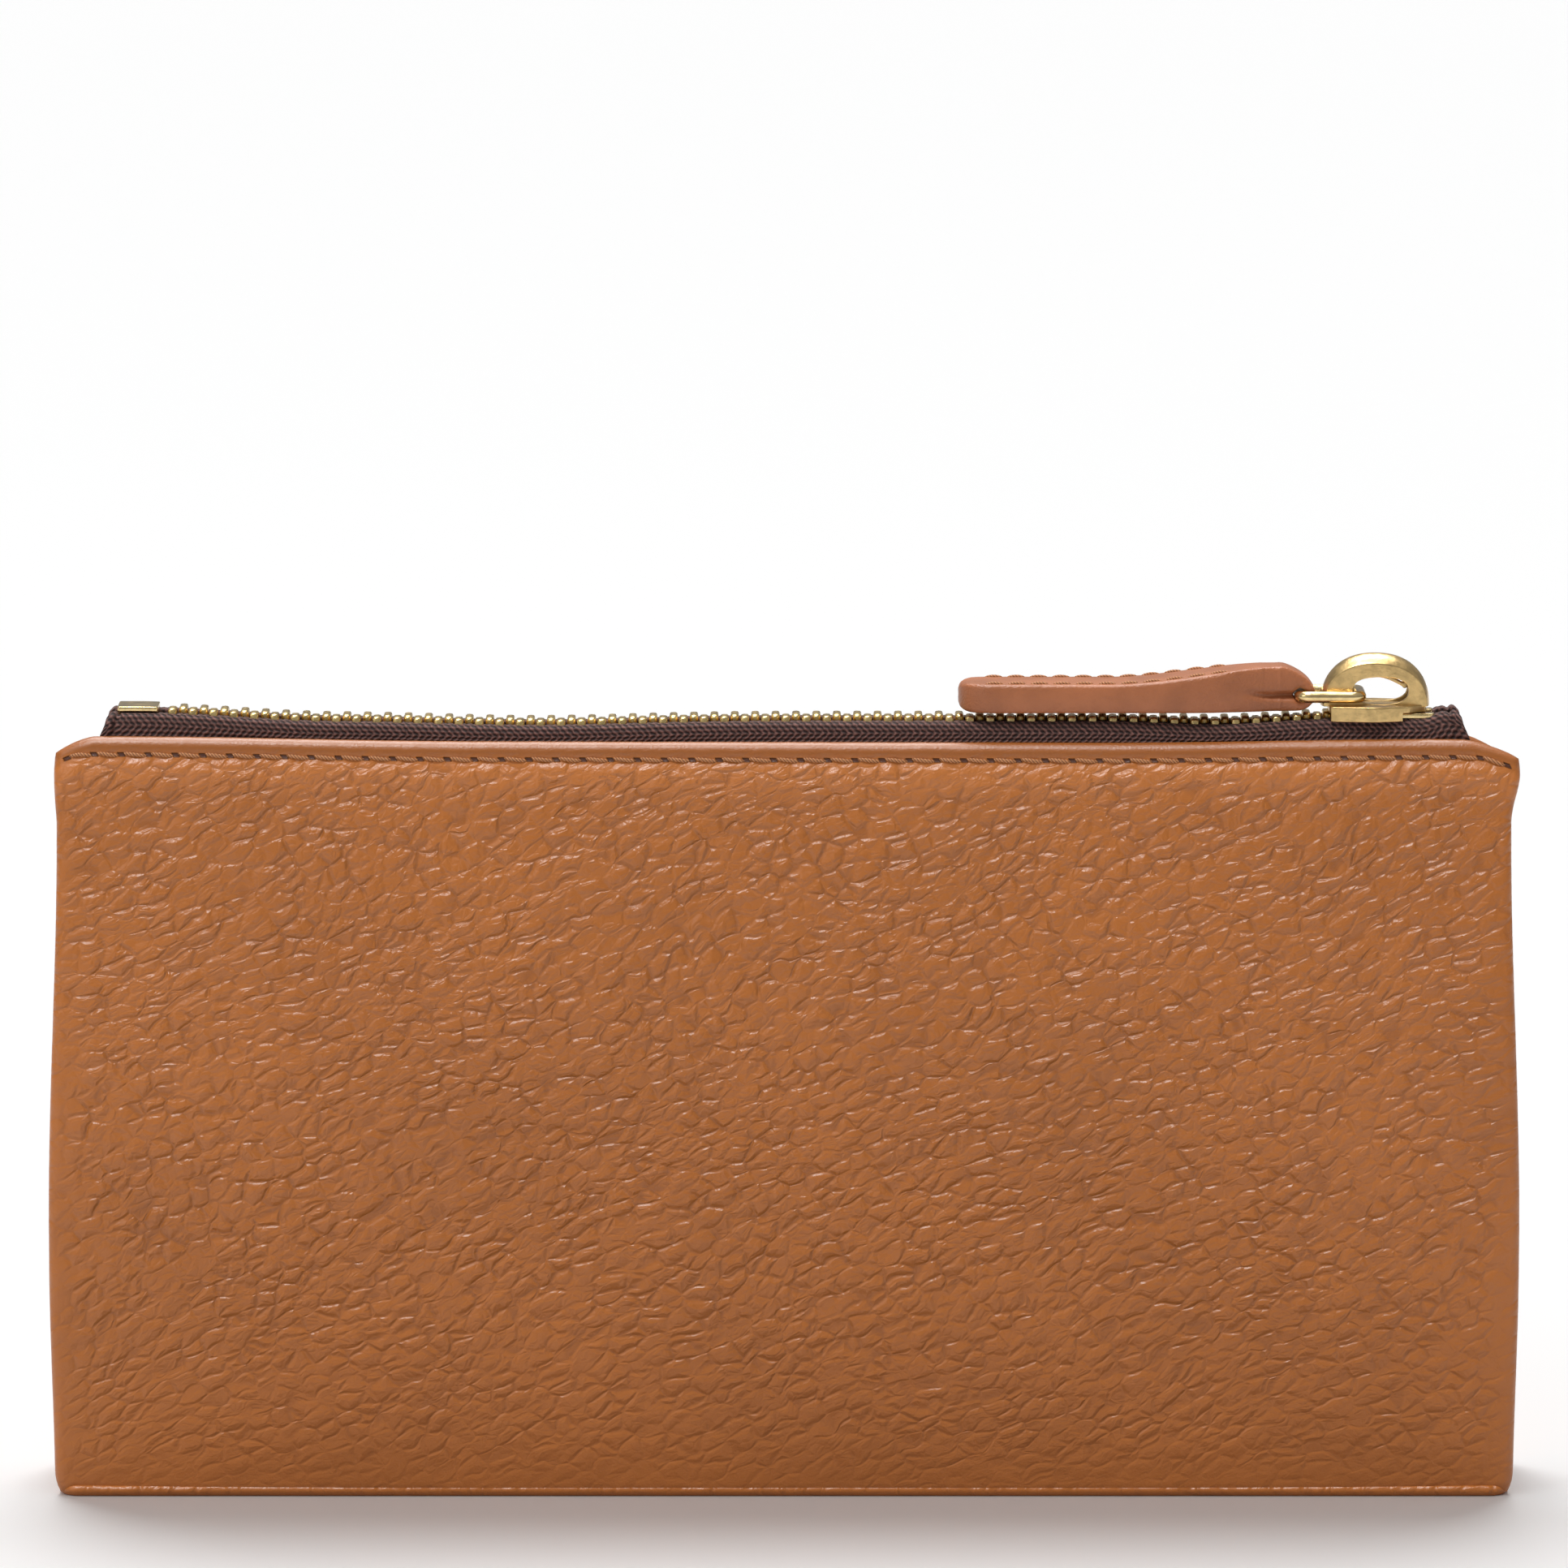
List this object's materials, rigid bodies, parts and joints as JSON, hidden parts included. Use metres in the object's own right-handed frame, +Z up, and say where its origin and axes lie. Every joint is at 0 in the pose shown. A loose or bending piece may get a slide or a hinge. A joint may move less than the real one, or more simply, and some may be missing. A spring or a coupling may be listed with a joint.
{
  "type": "zip wallet",
  "caption": "Long upright leather wallet with a metal zip along its top edge, card slots, two note compartments and a centre pocket.",
  "frame": {"origin": "middle of the underside of the base", "axes": "+X along the length towards the closed end of the zip, +Y towards the rear face, +Z up towards the zip"},
  "size_m": [0.19, 0.025, 0.1074],
  "materials": {
    "outer_leather": "pebbled, satin",
    "inner_leather": "smooth, satin",
    "tab_leather": "smooth with painted edges",
    "board": "matt",
    "lining_cloth": "woven cotton",
    "pocket_cloth": "woven cotton",
    "thread": "twisted thread",
    "tape": "twill zip tape",
    "teeth": "pale gold plate",
    "hardware": "cast, light antique gold"
  },
  "bodies": {
    "front_half": {"outer_leather_front": "outer_leather", "stiffener_board_front": "board", "lining_front": "lining_cloth", "card_slot_front_1": "inner_leather", "card_slot_front_2": "inner_leather", "card_slot_front_3": "inner_leather", "card_slot_front_4": "inner_leather", "top_stitching_front": "thread", "zip_tape_front": "tape", "zip_teeth_front": "teeth", "top_stop_front": "teeth", "outer_leather_base": "outer_leather", "stiffener_board_base": "board", "lining_base": "lining_cloth", "gusset_left": "lining_cloth", "gusset_right": "lining_cloth", "bottom_stop": "teeth"},
    "rear_half": {"outer_leather_rear": "outer_leather", "stiffener_board_rear": "board", "lining_rear": "lining_cloth", "card_slot_rear_1": "inner_leather", "card_slot_rear_2": "inner_leather", "card_slot_rear_3": "inner_leather", "card_slot_rear_4": "inner_leather", "top_stitching_rear": "thread", "zip_tape_rear": "tape", "zip_teeth_rear": "teeth", "top_stop_rear": "teeth"},
    "divider": {"divider_wall_front": "pocket_cloth", "divider_wall_rear": "pocket_cloth", "divider_base_fold": "pocket_cloth", "divider_seam_left": "pocket_cloth", "divider_seam_right": "pocket_cloth"},
    "slider": {"slider_body": "hardware", "slider_crown": "hardware"},
    "lock_pawl": {"lock_pawl": "hardware"},
    "pull_ring": {"pull_ring": "hardware"},
    "pull_tab": {"pull_tab_leather": "tab_leather", "pull_tab_stitching": "thread"}
  },
  "joints": [
    {"name": "slider_slide", "type": "slide", "parent": "front_half", "child": "slider", "axis": [-1, 0, 0], "range_m": [0, 0.15], "deforming": ["zip_teeth_front", "zip_teeth_rear", "zip_tape_front"]},
    {"name": "mouth_open", "type": "hinge", "parent": "front_half", "child": "rear_half", "pos_m": [0, 0.0118, 0.0024], "axis": [-1, 0, 0], "range_deg": [0, 18.05], "deforming": ["zip_tape_rear", "gusset_left", "gusset_right"]},
    {"name": "divider_swing", "type": "hinge", "parent": "front_half", "child": "divider", "pos_m": [0, 0, 0.006], "axis": [-1, 0, 0], "range_deg": [0, 9.05]},
    {"name": "ring_swing", "type": "hinge", "parent": "slider", "child": "pull_ring", "pos_m": [0.0744, 0, 0.1032], "axis": [0, 1, 0], "range_deg": [0, 110]},
    {"name": "tab_fold", "type": "hinge", "parent": "pull_ring", "child": "pull_tab", "pos_m": [0.06665, 0, 0.1032], "axis": [0, 1, 0], "range_deg": [0, 70]},
    {"name": "pawl_lift", "type": "hinge", "parent": "slider", "child": "lock_pawl", "pos_m": [0.0802, 0, 0.1044], "axis": [0, 1, 0], "range_deg": [0, 2.3]}
  ],
  "couplings": [
    {"joint": "mouth_open", "follows": "slider_slide", "rad_per_m": 2.0944},
    {"joint": "divider_swing", "follows": "slider_slide", "rad_per_m": 1.0472},
    {"joint": "pawl_lift", "follows": "ring_swing", "ratio": 0.02}
  ]
}
